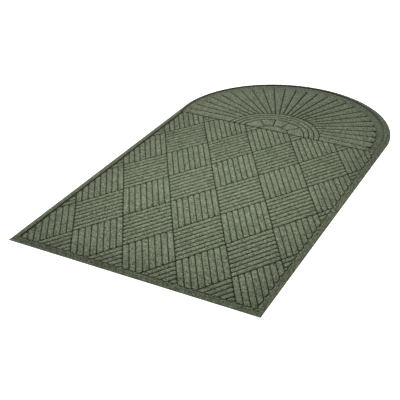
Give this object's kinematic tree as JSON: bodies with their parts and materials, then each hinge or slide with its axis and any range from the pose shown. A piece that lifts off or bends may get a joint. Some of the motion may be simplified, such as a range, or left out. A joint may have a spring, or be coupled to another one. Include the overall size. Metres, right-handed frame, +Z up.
{
  "type": "entrance doormat",
  "caption": "Entrance mat of ribbed carpet, straight at one end and round at the other, with a parquet of leaning rib blocks, a fan in the round end and a bevelled border.",
  "frame": {"origin": "middle of the underside, half way along the mat and half way across it", "axes": "+X across the mat, +Y along it towards the round end, +Z up from the floor"},
  "size_m": [0.89, 1.6504, 0.008],
  "materials": {
    "carpet": "matt needle-punched fibre, sage green with beige flecks"
  },
  "bodies": {
    "root": {"mat": "carpet"}
  },
  "joints": []
}
